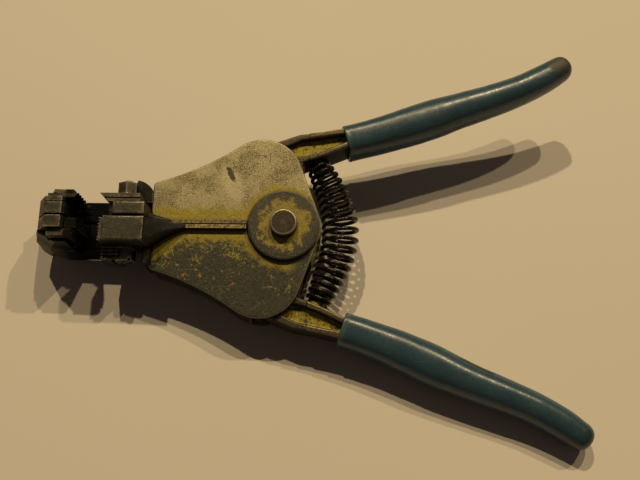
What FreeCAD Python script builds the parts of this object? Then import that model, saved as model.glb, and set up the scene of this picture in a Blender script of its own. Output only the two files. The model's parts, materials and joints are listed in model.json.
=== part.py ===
"""Automatic wire stripper, 7-1/4 inch class, as an assembly of separate pieces.

Frame: origin at the centre of the pivot stud's back face, +X towards the handles,
+Y towards the cutting side, +Z towards the front face.  Millimetres.

Two frame halves, the two handles and both discs share one stud.  The half at +Y carries the
blades and the half at -Y carries the gripper.  Each handle turns inside its own half, and its
crank pin draws a bar that pulls the outer jaw onto the inner one.  The halves then swing apart
on the stud and take the insulation off.
"""
import os
import math
import FreeCAD, Part
from FreeCAD import Vector

# ---- driving dimensions -------------------------------------------------------------------
Z_MID = 13.0            # height of the handles' middle plane above the stud's back face
STUD_R = 4.57
STUD_LENGTH = 26.0
DISC_R = 12.2
DISC_T = 2.0
PLATE_T = 2.0           # thickness of the front plates and the back covers
FRONT_Z = 21.0          # outer face of the front plates
BACK_Z = 5.0            # outer face of the back covers
EAR_R = 12.6            # round ears of the frame halves, lapped one over the other
EAR_GAP = 0.06
FIT = 0.05              # radial running clearance
SPLIT = 0.2             # half of the gap between the two frame halves
HEAD_X = -45.4          # end of the plates at the head
HEAD_CORNER_Y = 15.3
HEAD_CORNER_R = 1.8     # the plate's corner beside the head is rounded
LOBE_X, LOBE_Y, LOBE_R = -7.8, 17.9, 13.9
WALL_T = 2.2
RIM_W = 1.3             # raised rim beside the split
RIM_TOP = 22.9
COVER_BOSSES = [(-41.6, 11.5), (-23.4, 20.2), (-17.0, 4.6)]
BOSS_R = 2.4
COVER_SCREW_R = 1.2
COVER_HEAD_R = 2.3
WALL_END_X = -10.6      # the flank wall stops here and the handle comes out

JAW_TOP = 32.5
CRANK_R = 23.0          # distance of the crank pins from the stud
CRANK_ANGLE = 103.0     # their angle from +X at rest
PIN_R = 2.0
PIN_PLAY = 0.08         # play of the pin in the draw bar's cross slot
BAR_X0 = -77.6
BAR_Y0, BAR_Y1 = 2.6, 7.2
BAR_Z0, BAR_Z1 = 11.0, 15.0
EDGE_INNER_X = -60.4    # cutting edge and gripping face of the inner, fixed jaws
EDGE_OUTER_X = -67.6    # the same on the outer, moving jaws, with the mouth open
FINGER_X = -71.8        # wire side of the outer jaws' tall fingers
FINGER_Y1 = 4.4
FOOT_TOP = 16.2
FOOT_BOTTOM = 4.0
BLADE_FOOT_Y1 = 9.6     # the two feet differ in width and in the length of their rails
GRIP_FOOT_Y1 = 8.6
BLADE_RAIL_X1 = -59.0
GRIP_RAIL_X1 = -55.0
RIVET_X = (-76.3, -72.7)
RIVET_Y = 5.9
RIVET_R = 1.0
SPACER_Y1 = 6.2         # the blades lie between here and BLADE_Y1
BLADE_Y1 = 7.6
CLAMP_Y1 = 8.9
GAUGE_RADII = (1.30, 1.05, 0.80, 0.60, 0.45)
GAUGE_Z0 = 18.6         # height of the largest notch
GAUGE_LAND = 1.75       # land between one notch and the next
INNER_SCREW_R = 1.5
OUTER_SCREW_R = 1.3
BLADE_SCREW = (-52.8, 25.0)             # X and Z of the screws through the jaws
GRIP_SCREW = (-53.0, 22.0)
OUTER_BLADE_SCREW = (-74.8, 25.0)
OUTER_GRIP_SCREW = (-74.8, 24.0)
SCREW_TIP_Y = 1.0       # the screws reach this close to the split
PAD_X1, PAD_Y1 = -68.4, 7.0             # rounded corner of the moving gripper pad
GUIDE_Y0, GUIDE_Y1 = 8.6, 13.6

SPRING_COILS = 18.5
SPRING_WIRE_R = 0.7
SPRING_CROWDING = 0.19  # how much closer the coils sit at both ends than in the middle
SPRING_END_R = 3.8      # mean coil radius at the ends of the barrel-shaped spring
SPRING_SWELL = 2.1      # and how much it grows towards the middle
SPRING_HALF_CHORD = 24.3
SPRING_X_MID = 19.5     # the curved centre line bows this far out, behind the disc
SPRING_BOW = 7.8
HUB_R = 8.6
HUB_WASHER_R = 7.6
SHANK_T = 13.0
TANG_T = 10.0           # the tang inside the sleeve is thinner than the shank
TANG_X = 24.0
LOWER_SPLAY = 2.4       # the lower handle stands this many degrees further open
WEB_T = 7.5             # web between the flanges of the I-shaped shank
SLEEVE_TIP = 4.6
SLEEVE_WALL = 2.1       # thickness of the vinyl
# Stations along the sleeve: place of the centre line, half width in plan and half thickness.
SLEEVE = [
    (21.2, 33.5, 5.7, 7.3),
    (32.0, 36.6, 5.9, 7.4),
    (43.0, 39.9, 6.4, 7.5),
    (53.0, 43.1, 6.8, 7.5),
    (63.0, 46.8, 6.5, 7.3),
    (74.0, 51.0, 6.0, 7.0),
    (85.0, 55.6, 5.4, 6.5),
    (94.5, 60.4, 5.0, 6.0),
    (100.5, 64.0, 4.7, 5.6),
]

CAVITY_Z0 = BACK_Z + PLATE_T
CAVITY_Z1 = FRONT_Z - PLATE_T
ARM_GAP = 0.1           # between a handle's arm and the plates
CLEAR = 0.1             # between pieces that move past each other without bearing
PAST = 1.0              # cutters run this far past what they cut
Y_AXIS, Z_AXIS = Vector(0, 1, 0), Vector(0, 0, 1)

parts = {}


# ---- helpers ------------------------------------------------------------------------------
def box(x0, x1, y0, y1, z0, z1):
    return Part.makeBox(x1 - x0, y1 - y0, z1 - z0, Vector(x0, y0, z0))


def rod(x, y, z0, z1, radius):
    return Part.makeCylinder(radius, z1 - z0, Vector(x, y, z0), Z_AXIS)


def rod_y(x, z, y0, y1, radius):
    return Part.makeCylinder(radius, y1 - y0, Vector(x, y0, z), Y_AXIS)


def extrude(edges, z0, z1):
    face = Part.Face(Part.Wire(edges))
    face.translate(Vector(0, 0, z0))
    return face.extrude(Vector(0, 0, z1 - z0))


def prism(points, z0, z1):
    """Straight-sided plan outline, raised from z0 to z1."""
    corners = [Vector(x, y, 0) for x, y in points]
    return extrude(Part.makePolygon(corners + corners[:1]).Edges, z0, z1)


def side_prism(points, y0, y1):
    """Outline in the X-Z plane, carried from y0 to y1."""
    corners = [Vector(x, y0, z) for x, z in points]
    face = Part.Face(Part.makePolygon(corners + corners[:1]))
    return face.extrude(Vector(0, y1 - y0, 0))


def slot(x, y0, y1, z0, z1, radius):
    """Round-ended slot along Y."""
    middle = box(x - radius, x + radius, y0, y1, z0, z1)
    return middle.fuse([rod(x, y0, z0, z1, radius), rod(x, y1, z0, z1, radius)]).removeSplitter()


def solid_from(points, faces):
    """Closed flat-faced solid from corner points and the corners of each face."""
    skins = []
    for face in faces:
        loop = [Vector(*points[i]) for i in face]
        skins.append(Part.Face(Part.makePolygon(loop + loop[:1])))
    return Part.makeSolid(Part.makeShell(skins))


def lower(shape):
    """The same piece on the gripper's side, at -Y."""
    return shape.mirror(Vector(0, 0, 0), Y_AXIS)


def turned(shape, x, y, degrees):
    copy = shape.copy()
    copy.rotate(Vector(x, y, 0), Z_AXIS, degrees)
    return copy


def rounded(shape, radius, choose):
    """Fillet the edges whose middle point is chosen."""
    edges = [e for e in shape.Edges if choose(e.CenterOfMass, e)]
    return shape.makeFillet(radius, edges)


# ---- plan outline of one frame half ---------------------------------------------------------
def polar(cx, cy, radius, degrees):
    a = math.radians(degrees)
    return Vector(cx + radius * math.cos(a), cy + radius * math.sin(a), 0)


def arc(a, b, c):
    return Part.Arc(a, b, c).toShape()


def flank_arc(start, lobe_r, flank_slope):
    """Concave flank that leaves the head corner and runs tangent into the lobe."""
    tangent = polar(LOBE_X, LOBE_Y, lobe_r, 90 + flank_slope)
    chord = tangent - start
    half_turn = math.radians(flank_slope) - math.atan2(chord.y, chord.x)
    sag = chord.Length / 2 * math.tan(half_turn / 2)
    normal = Vector(chord.y, -chord.x, 0).normalize()
    middle = start + chord * 0.5 + normal * sag
    return arc(start, middle, tangent), tangent


def tangent_angle(lobe_r, ear_r):
    """Direction of the outer tangent's normal between the lobe and the ear."""
    run = math.hypot(LOBE_X, LOBE_Y)
    toward = math.degrees(math.atan2(-LOBE_Y, -LOBE_X))
    return toward + math.degrees(math.acos((lobe_r - ear_r) / run))


def half_outline(inset=0.0):
    """Edges of the shield-shaped half above the split; inset moves it inwards."""
    lobe_r = LOBE_R - inset
    ear_r = EAR_R - inset
    left = HEAD_X + inset
    base = SPLIT + inset
    corner = Vector(left, HEAD_CORNER_Y - inset, 0)
    flank, touch = flank_arc(corner, lobe_r, 35.0)
    n = tangent_angle(lobe_r, ear_r)
    lobe_end = polar(LOBE_X, LOBE_Y, lobe_r, n)
    ear_start = polar(0, 0, ear_r, n)
    end_angle = math.degrees(math.asin(base / ear_r))
    ear_end = polar(0, 0, ear_r, end_angle)
    first = Vector(left, base, 0)
    return [
        Part.LineSegment(first, corner).toShape(),
        flank,
        arc(touch, polar(LOBE_X, LOBE_Y, lobe_r, 70), lobe_end),
        Part.LineSegment(lobe_end, ear_start).toShape(),
        arc(ear_start, polar(0, 0, ear_r, (n + end_angle) / 2), ear_end),
        Part.LineSegment(ear_end, first).toShape(),
    ]


def half_plate(z0, z1, ear_z0, ear_z1):
    """Plate of one half with its full round ear in one layer and room for the other's."""
    plate = extrude(half_outline(), z0, z1)
    plate = plate.cut(rod(0, 0, z0 - 1, z1 + 1, EAR_R + 0.1))
    ear_layer = extrude(half_outline(), ear_z0, ear_z1).fuse(rod(0, 0, ear_z0, ear_z1, EAR_R))
    plate = plate.fuse(ear_layer).removeSplitter()
    return plate.cut(rod(0, 0, z0 - 1, z1 + 1, STUD_R + FIT))


# ---- frame castings -------------------------------------------------------------------------
def on_outer_edge(c, z):
    """True for the flank, lobe and tangent edges of the plate at height z."""
    flank = c.y > HEAD_CORNER_Y - HEAD_CORNER_R / 2
    return abs(c.z - z) < 0.01 and (flank or c.x > 5) and c.y > SPLIT


def on_head_corner(c):
    """True for the upright edge where the end wall meets the flank."""
    return abs(c.x - HEAD_X) < 0.05 and abs(c.y - HEAD_CORNER_Y) < 0.05


def frame_casting(ear_z0, ear_z1):
    """Front plate, flank wall, split wall with its rim, end wall and screw bosses."""
    body = half_plate(CAVITY_Z1, FRONT_Z, ear_z0, ear_z1)
    ring = extrude(half_outline(), CAVITY_Z0, CAVITY_Z1)
    ring = ring.cut(extrude(half_outline(WALL_T), CAVITY_Z0, CAVITY_Z1))
    way_out = box(WALL_END_X, 20, 0, 40, CAVITY_Z0, CAVITY_Z1)
    ring = ring.cut(way_out).cut(rod(0, 0, CAVITY_Z0, CAVITY_Z1, EAR_R + 1.0))
    window = box(HEAD_X - PAST, HEAD_X + WALL_T + PAST, BAR_Y0 - CLEAR, BAR_Y1 + CLEAR,
                 BAR_Z0 - CLEAR, BAR_Z1 + CLEAR)
    ring = ring.cut(window)
    bosses = [rod(x, y, CAVITY_Z0, CAVITY_Z1, BOSS_R) for x, y in COVER_BOSSES]
    rim = box(HEAD_X, -DISC_R - 0.5, SPLIT, SPLIT + RIM_W, FRONT_Z, RIM_TOP)
    body = body.fuse([ring, rim] + bosses).removeSplitter()
    body = rounded(body, HEAD_CORNER_R, lambda c, e: on_head_corner(c))
    body = rounded(body, 0.6, lambda c, e: on_outer_edge(c, FRONT_Z))
    for x, y in COVER_BOSSES:
        body = body.cut(rod(x, y, CAVITY_Z0 - PAST, CAVITY_Z0 + 8, COVER_SCREW_R))
    return body


def neck_section(x, y1, z0, z1, radius):
    """Upright outline across the neck, with its outer top corner rounded."""
    mid = radius * (1 - math.sqrt(0.5))
    corner = [Vector(x, y1, z1 - radius), Vector(x, y1 - mid, z1 - mid), Vector(x, y1 - radius, z1)]
    ends = [Vector(x, SPLIT, z1), Vector(x, SPLIT, z0), Vector(x, y1, z0)]
    loop = [corner[2]] + ends + [corner[0]]
    edges = [Part.LineSegment(a, b).toShape() for a, b in zip(loop, loop[1:])]
    return Part.Wire([arc(*corner)] + edges)


def neck(block_y, length, top):
    """Neck that flares from the raised rim to the jaw block, above the plate."""
    z0 = FRONT_Z - 0.5
    waist = 0.36        # part of the flare that is left halfway along
    rim_y = SPLIT + RIM_W
    sections = [
        neck_section(HEAD_X, block_y, z0, top, 1.6),
        neck_section(HEAD_X + length / 2, rim_y + (block_y - rim_y) * waist, z0,
                     RIM_TOP + (top - RIM_TOP) * waist, 0.9),
        neck_section(HEAD_X + length, rim_y, z0, RIM_TOP, 0.3),
    ]
    return Part.makeLoft(sections, True, False)


def jaw_block(x0, y1):
    """Fixed jaw block that stands in front of the end wall."""
    block = box(x0, HEAD_X + 0.01, SPLIT, y1, BAR_Z1 + 0.3, JAW_TOP)
    return rounded(block, 0.7, lambda c, e: abs(c.z - JAW_TOP) < 0.01 and c.x < HEAD_X - 0.1)


def jaw_horn():
    """Curved stop that stands out beside the blade screw."""
    root_y, tip_z = 7.9, 21.0
    edges = [
        Part.LineSegment(Vector(HEAD_X, root_y, 0), Vector(HEAD_X, 12.2, 0)).toShape(),
        arc(Vector(HEAD_X, 12.2, 0), Vector(-47.6, 14.6, 0), Vector(-50.8, 15.9, 0)),
        Part.LineSegment(Vector(-50.8, 15.9, 0), Vector(-51.2, 14.8, 0)).toShape(),
        Part.LineSegment(Vector(-51.2, 14.8, 0), Vector(-51.2, root_y, 0)).toShape(),
        Part.LineSegment(Vector(-51.2, root_y, 0), Vector(HEAD_X, root_y, 0)).toShape(),
    ]
    return extrude(edges, 8.0, tip_z)


def blade_frame():
    body = frame_casting(CAVITY_Z1 + PLATE_T / 2 + EAR_GAP / 2, FRONT_Z)
    low_neck = neck(3.2, 7.6, 26.5)
    body = body.fuse([low_neck, jaw_block(-55.9, 4.8), jaw_horn()]).removeSplitter()
    return body.cut(rod_y(*BLADE_SCREW, SCREW_TIP_Y, 9.0, INNER_SCREW_R))


def grip_frame():
    body = frame_casting(CAVITY_Z1, CAVITY_Z1 + PLATE_T / 2 - EAR_GAP / 2)
    lip_y1, lip_z1 = 14.4, 23.6
    lip = box(-47.2, HEAD_X + 0.8, 8.2, lip_y1, 9.0, lip_z1)
    lip = rounded(lip, 0.8, lambda c, e: abs(c.z - lip_z1) < 0.01 or abs(c.y - lip_y1) < 0.01)
    tall_neck = neck(8.6, 12.5, JAW_TOP - 2.0)
    body = body.fuse([tall_neck, jaw_block(-58.9, 8.6), lip]).removeSplitter()
    return lower(body.cut(rod_y(*GRIP_SCREW, 3.0, 9.0, INNER_SCREW_R)))


def countersunk_head(x, y):
    depth = 1.2
    return Part.makeCone(COVER_HEAD_R, COVER_SCREW_R, depth, Vector(x, y, BACK_Z), Z_AXIS)


def back_cover(ear_z0, ear_z1):
    cover = half_plate(BACK_Z, CAVITY_Z0, ear_z0, ear_z1)
    cover = rounded(cover, HEAD_CORNER_R, lambda c, e: on_head_corner(c))
    for x, y in COVER_BOSSES:
        cover = cover.cut(rod(x, y, BACK_Z - PAST, CAVITY_Z0 + PAST, COVER_SCREW_R))
        cover = cover.cut(countersunk_head(x, y))
    return cover


def cover_screws():
    """Three countersunk slotted screws."""
    screws = []
    for x, y in COVER_BOSSES:
        shaft = rod(x, y, BACK_Z + 1.0, BACK_Z + 9.0, COVER_SCREW_R)
        screw = countersunk_head(x, y).fuse(shaft).removeSplitter()
        groove = box(x - 3, x + 3, y - 0.3, y + 0.3, BACK_Z - PAST, BACK_Z + 0.6)
        screws.append(screw.cut(turned(groove, x, y, 31 * x)))
    return screws


# ---- handles ----------------------------------------------------------------------------------
def opened(points, splay):
    """Plan points turned about the stud, away from the other handle."""
    c, s = math.cos(math.radians(splay)), math.sin(math.radians(splay))
    return [(x * c - y * s, x * s + y * c) for x, y in points]


def station_frames(splay):
    """Centre, plan normal and direction, and half sizes, of every sleeve station."""
    centres = opened([(x, y) for x, y, w, t in SLEEVE], splay)
    frames = []
    for i, (x, y) in enumerate(centres):
        before = centres[max(i - 1, 0)]
        after = centres[min(i + 1, len(centres) - 1)]
        along = Vector(after[0] - before[0], after[1] - before[1], 0).normalize()
        half_w, half_t = SLEEVE[i][2:]
        frames.append((Vector(x, y, Z_MID), Vector(-along.y, along.x, 0), along, half_w, half_t))
    return frames


def section(centre, normal, half_w, half_t):
    """Rounded-rectangle ring across the sleeve, as one smooth closed curve."""
    count = 24
    power = 2.0 / 3.0
    points = []
    for k in range(count):
        a = 2 * math.pi * k / count
        c, s = math.cos(a), math.sin(a)
        u = math.copysign(abs(c) ** power, c) * half_w
        w = math.copysign(abs(s) ** power, s) * half_t
        points.append(centre + normal * u + Z_AXIS * w)
    curve = Part.BSplineCurve()
    curve.interpolate(Points=points, PeriodicFlag=True)
    return Part.Wire([curve.toShape()])


def sleeve_body(splay):
    """Outside of the vinyl sleeve with its rounded tip."""
    frames = station_frames(splay)
    rings = [section(c, n, w, t) for c, n, a, w, t in frames]
    centre, normal, along, half_w, half_t = frames[-1]
    for step in (30, 55, 75):
        s, c = math.sin(math.radians(step)), math.cos(math.radians(step))
        rings.append(section(centre + along * SLEEVE_TIP * s, normal, half_w * c, half_t * c))
    return Part.makeLoft(rings, True, False)


def tang_points(splay):
    """Plan outline of the steel tang that fills the sleeve."""
    frames = station_frames(splay)[:-1]
    outer = [c + n * (w - SLEEVE_WALL) for c, n, a, w, t in frames]
    inner = [c - n * (w - SLEEVE_WALL) for c, n, a, w, t in frames]
    return [(p.x, p.y) for p in outer], [(p.x, p.y) for p in inner]


def flat_handle(z0, z1, splay):
    """Plan of arm, shank and tang, between two heights."""
    outer, inner = tang_points(splay)
    plan = [(-10.2, 22.4), (-9.2, 28.6)]
    plan += opened([(-2.8, 31.9), (4.9, 34.7), (13.0, 35.6)], splay)
    plan += outer + inner[::-1]
    plan += opened([(14.0, 26.6), (6.0, 23.8)], splay)
    plan += [(8.4, 9.0), (-7.2, 8.4), (-10.0, 18.6)]
    return prism(plan, z0, z1)


def web_pocket(z0, z1, splay):
    """Space between the flanges of the I-shaped shank."""
    outer, inner = tang_points(splay)
    mid_out = [(x * 0.7 + u * 0.3, y * 0.7 + v * 0.3) for (x, y), (u, v) in zip(outer, inner)]
    mid_in = [(x * 0.3 + u * 0.7, y * 0.3 + v * 0.7) for (x, y), (u, v) in zip(outer, inner)]
    plan = opened([(-0.5, 29.6), (5.6, 32.4), (13.2, 33.6)], splay) + mid_out[:3]
    plan += mid_in[:3][::-1] + opened([(13.4, 28.6), (7.4, 26.7), (2.4, 26.2)], splay)
    return prism(plan, z0, z1)


def fork_gap(pin):
    """Room for the draw bar's eye between the fork's cheeks, over the handle's whole swing."""
    z0, z1 = BAR_Z0 - CLEAR, BAR_Z1 + CLEAR
    gap = [rod(pin.x, pin.y, z0, z1, 5.2)]
    for angle in (196, 208, 220, 230):
        strip = box(0, 16, -4.7, 4.7, z0, z1)
        strip.rotate(Vector(0, 0, 0), Z_AXIS, angle)
        strip.translate(Vector(pin.x, pin.y, 0))
        gap.append(strip)
    return gap


def handle(hub_z0, hub_z1, splay):
    """Cast handle: hub on the stud, forked crank arm, I-shaped shank, tang and spring boss."""
    arm_z0, arm_z1 = CAVITY_Z0 + ARM_GAP, CAVITY_Z1 - ARM_GAP
    body = flat_handle(arm_z0, arm_z1, splay)
    shank_z0, shank_z1 = Z_MID - SHANK_T / 2, Z_MID + SHANK_T / 2
    reach = box(8.0, 120, 20, 90, shank_z0, shank_z1)
    body = body.fuse(flat_handle(shank_z0, shank_z1, splay).common(reach))
    body = body.cut(box(TANG_X, 120, 20, 90, 0, Z_MID - TANG_T / 2))
    body = body.cut(box(TANG_X, 120, 20, 90, Z_MID + TANG_T / 2, 30))
    body = body.cut(rod(0, 0, 0, 30, HUB_R + 0.6))
    collar = prism([(8.4, 9.0), (-7.2, 8.4), (-6.0, 4.0), (6.0, 4.0)], hub_z0, hub_z1)
    body = body.fuse([rod(0, 0, hub_z0, hub_z1, HUB_R), collar])
    body = body.cut(web_pocket(0, Z_MID - WEB_T / 2, splay))
    body = body.cut(web_pocket(Z_MID + WEB_T / 2, 30, splay))
    pin = polar(0, 0, CRANK_R, CRANK_ANGLE)
    for cutter in fork_gap(pin):
        body = body.cut(cutter)
    body = body.cut(rod(pin.x, pin.y, 0, 30, PIN_R))
    body = body.cut(rod(0, 0, 0, 30, STUD_R + FIT))
    start, inwards = spring_line(0)
    boss_r = SPRING_END_R - SPRING_WIRE_R - 0.3
    boss = Part.makeCylinder(boss_r, 7.0, start - inwards * 3.0, inwards)
    return body.fuse(boss).removeSplitter()


def grip_sleeve(splay):
    """Vinyl sleeve, hollow where the tang and the end of the shank fill it."""
    tang = flat_handle(Z_MID - TANG_T / 2, Z_MID + TANG_T / 2, splay)
    shank = flat_handle(Z_MID - SHANK_T / 2, Z_MID + SHANK_T / 2, splay)
    return sleeve_body(splay).cut(tang).cut(shank.common(box(0, TANG_X, 20, 60, 0, 30)))


# ---- main spring ------------------------------------------------------------------------------
def spring_line(t):
    """Point and direction on the spring's bowed centre line, t from 0 (upper end) to 1."""
    y = SPRING_HALF_CHORD * (1 - 2 * t)
    phase = math.pi / 2 * y / SPRING_HALF_CHORD
    x = SPRING_X_MID - SPRING_BOW * (1 - math.cos(phase))
    slope = SPRING_BOW * math.sin(phase) * math.pi / 2 / SPRING_HALF_CHORD
    return Vector(x, y, Z_MID), Vector(slope, -1, 0).normalize()


def main_spring():
    """Round wire wound barrel-shaped about a bowed line, from one handle's boss to the other's."""
    per_turn = 12
    count = round(SPRING_COILS * per_turn)
    points = []
    for k in range(count + 1):
        t = k / count
        centre, along = spring_line(t)
        out = Vector(-along.y, along.x, 0)
        turn = SPRING_COILS * (2 * math.pi * t + SPRING_CROWDING * math.sin(2 * math.pi * t))
        reach = SPRING_END_R + SPRING_SWELL * math.sin(math.pi * t) ** 0.8
        points.append(centre + out * (reach * math.cos(turn)) + Z_AXIS * (reach * math.sin(turn)))
    curve = Part.BSplineCurve()
    curve.interpolate(points)
    spine = Part.Wire([curve.toShape()])
    heading = curve.tangent(curve.FirstParameter)[0]
    ring = Part.Circle(points[0], heading, SPRING_WIRE_R).toShape()
    return spine.makePipeShell([Part.Wire([ring])], True, True)


# ---- jaws -------------------------------------------------------------------------------------
FINGER_BACK = [(-78.0, JAW_TOP), (-81.6, 27.0), (-85.6, FOOT_TOP)]
FINGER_FRONT = [(FINGER_X, 17.4), (FINGER_X, JAW_TOP - 1.0), (-72.6, JAW_TOP)]
FOOT_PROFILE = [(-84.8, 9.5), (-79.6, 9.5), (-77.6, FOOT_BOTTOM), (-72.0, FOOT_BOTTOM), (-70.4, 5.6),
                (-70.4, FOOT_TOP - 1.0), (-71.4, FOOT_TOP)]


def outer_jaw(foot_y1, rail_x1, screw):
    """Moving jaw: tall finger on a wide foot, with a rail beside the draw bar's socket."""
    near = SPLIT + 0.1
    finger = side_prism(FINGER_BACK + FOOT_PROFILE + FINGER_FRONT, near, FINGER_Y1)
    foot = side_prism(FINGER_BACK[-1:] + FOOT_PROFILE, near, foot_y1)
    rail = box(-72.5, rail_x1, BAR_Y1 + CLEAR, foot_y1, FOOT_BOTTOM + 0.6, FOOT_TOP - 1.4)
    body = finger.fuse([foot, rail]).removeSplitter()
    body = body.cut(box(BAR_X0, -70, BAR_Y0, BAR_Y1, BAR_Z0, BAR_Z1))
    for x in RIVET_X:
        body = body.cut(rod(x, RIVET_Y, 0, 30, RIVET_R))
    return body.cut(rod_y(*screw, SCREW_TIP_Y, FINGER_Y1 + PAST, OUTER_SCREW_R))


def chamfered_end():
    """Cutter for the slanted outer corner of the gripper's moving jaw."""
    top_z, low_z = 40.0, 0.0
    lean = 0.409        # how far the corner moves out for each millimetre down

    def corners(z):
        x = -81.7 - lean * (27.0 - z)
        return [(x - 14.4, -3.2, z), (x + 14.2, 12.9, z), (x - 14.4, 12.9, z)]

    faces = [(0, 2, 1), (3, 4, 5), (0, 1, 4, 3), (1, 2, 5, 4), (2, 0, 3, 5)]
    return solid_from(corners(low_z) + corners(top_z), faces)


def grip_outer_jaw():
    """The gripper's moving jaw has a cheek outside its pad and a slanted outer corner."""
    body = outer_jaw(GRIP_FOOT_Y1, GRIP_RAIL_X1, OUTER_GRIP_SCREW)
    cheek_top, cheek_y1 = 27.2, 8.2
    profile = [(-81.5, cheek_top), (-85.6, FOOT_TOP), (FINGER_X, FOOT_TOP), (FINGER_X, cheek_top)]
    cheek = side_prism(profile, FINGER_Y1, cheek_y1)
    cheek = cheek.cut(box(-78.0, -60, FINGER_Y1, PAD_Y1 + 0.4, FOOT_TOP, 40))
    return body.fuse(cheek).removeSplitter().cut(chamfered_end())


def draw_bar():
    """Flat bar from the jaw's foot to the crank pin, with a short cross slot for the pin."""
    pin = polar(0, 0, CRANK_R, CRANK_ANGLE)
    eye_y = pin.y + 0.3
    plan = [(BAR_X0, BAR_Y0), (BAR_X0, BAR_Y1), (-38.6, BAR_Y1), (pin.x - 2.0, eye_y + 3.9),
            (pin.x + 1.6, eye_y - 4.0), (-37.2, BAR_Y0)]
    bar = prism(plan, BAR_Z0, BAR_Z1).fuse(rod(pin.x, eye_y, BAR_Z0, BAR_Z1, 4.3)).removeSplitter()
    bar = bar.cut(slot(pin.x, pin.y - 0.1, CRANK_R + 0.1, 0, 30, PIN_R + PIN_PLAY))
    for x in RIVET_X:
        bar = bar.cut(rod(x, RIVET_Y, 0, 30, RIVET_R))
    return bar


def jaw_rivets():
    """Two rivets through the foot and the draw bar, with low heads."""
    rivets = []
    for x in RIVET_X:
        shank = rod(x, RIVET_Y, FOOT_BOTTOM, FOOT_TOP, RIVET_R)
        head = Part.makeCone(1.4, 1.0, 0.5, Vector(x, RIVET_Y, FOOT_TOP), Z_AXIS)
        rivets.append(shank.fuse(head).removeSplitter())
    return rivets


def crank_pin():
    pin = polar(0, 0, CRANK_R, CRANK_ANGLE)
    return rod(pin.x, pin.y, CAVITY_Z0 + ARM_GAP, CAVITY_Z1 - ARM_GAP, PIN_R)


def notched(blade, edge_x):
    """Half-round wire notches along a cutting edge, largest at the bottom."""
    z = GAUGE_Z0
    for radius in GAUGE_RADII:
        blade = blade.cut(rod_y(edge_x, z, 0, 20, radius))
        z += radius + GAUGE_LAND
    return blade


def inner_blade():
    plan = [(EDGE_INNER_X, BLADE_Y1), (-47.0, BLADE_Y1), (-47.0, SPACER_Y1), (-58.9, SPACER_Y1)]
    blade = notched(prism(plan, 16.6, 32.0), EDGE_INNER_X)
    return blade.cut(rod_y(*BLADE_SCREW, 0, 20, INNER_SCREW_R))


def inner_blade_spacer():
    plan = [(-59.0, SPACER_Y1), (-47.0, SPACER_Y1), (-47.0, 4.8), (-57.5, 4.8)]
    return prism(plan, 16.6, 31.6).cut(rod_y(*BLADE_SCREW, 0, 20, INNER_SCREW_R))


def outer_blade():
    plan = [(-77.8, SPACER_Y1), (-77.8, BLADE_Y1), (EDGE_OUTER_X, BLADE_Y1), (-69.1, SPACER_Y1)]
    blade = notched(prism(plan, 17.2, 31.2), EDGE_OUTER_X)
    return blade.cut(rod_y(*OUTER_BLADE_SCREW, 0, 20, OUTER_SCREW_R))


def outer_blade_spacer():
    """Distance plate with the finger's own outline."""
    profile = FINGER_BACK[:2] + [(-85.0, 17.4)] + FINGER_FRONT
    spacer = side_prism(profile, FINGER_Y1 + 0.1, SPACER_Y1)
    return spacer.cut(rod_y(*OUTER_BLADE_SCREW, 0, 20, OUTER_SCREW_R))


def outer_blade_clamp():
    """Plate that holds the outer blade against its spacer."""
    plan = [(-76.2, BLADE_Y1), (-75.6, CLAMP_Y1), (-69.2, CLAMP_Y1), (-69.0, BLADE_Y1)]
    clamp = prism(plan, 17.4, 31.4)
    clamp = rounded(clamp, 0.3, lambda c, e: abs(c.y - CLAMP_Y1) < 0.01)
    return clamp.cut(rod_y(*OUTER_BLADE_SCREW, 0, 20, OUTER_SCREW_R))


def screw_y(place, y_tip, y_seat, shaft_r, head_r, head_h):
    """Slotted cheese-head screw along +Y with a bevelled rim; place is its X and Z."""
    x, z = place
    top = y_seat + head_h
    head = rod_y(x, z, y_seat, top, head_r)
    rim = [e for e in head.Edges if abs(e.CenterOfMass.y - top) < 0.01]
    head = head.makeChamfer(min(0.4, head_h / 2), rim)
    screw = rod_y(x, z, y_tip, y_seat, shaft_r).fuse(head).removeSplitter()
    groove_w, groove_d = 0.9, min(1.2, head_h * 0.6)
    groove = box(x - groove_w / 2, x + groove_w / 2, top - groove_d, top + PAST,
                 z - head_r - PAST, z + head_r + PAST)
    groove.rotate(Vector(x, 0, z), Y_AXIS, 38)
    return screw.cut(groove)


def nut_y(place, y0, y1, across, bore_r):
    """Hexagon nut with its axis along Y."""
    x, z = place
    corners = []
    for k in range(6):
        a = math.radians(60 * k + 30)
        corners.append((x + across / math.sqrt(3) * math.cos(a), z + across / math.sqrt(3) * math.sin(a)))
    return side_prism(corners, y0, y1).cut(rod_y(x, z, y0 - PAST, y1 + PAST, bore_r))


def washer_y(place, y0, y1, inner_r, outer_r):
    return rod_y(*place, y0, y1, outer_r).cut(rod_y(*place, y0 - PAST, y1 + PAST, inner_r))


def serrated(pad, x, y0, y1, outward):
    """Cut upright V grooves into the face at x that meets the wire."""
    pitch, depth, half_w = 1.1, 0.5, 0.44
    y = y0 + pitch / 2
    while y < y1:
        mouth_x = x + outward * 0.01
        groove = [(mouth_x, y - half_w), (mouth_x, y + half_w), (x - outward * depth, y)]
        pad = pad.cut(prism(groove, 0, 40))
        y += pitch
    return pad


def inner_gripper():
    y0, y1 = 0.7, 8.3
    return serrated(box(EDGE_INNER_X, -58.9, y0, y1, 17.0, 31.4), EDGE_INNER_X, y0, y1, -1)


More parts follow.
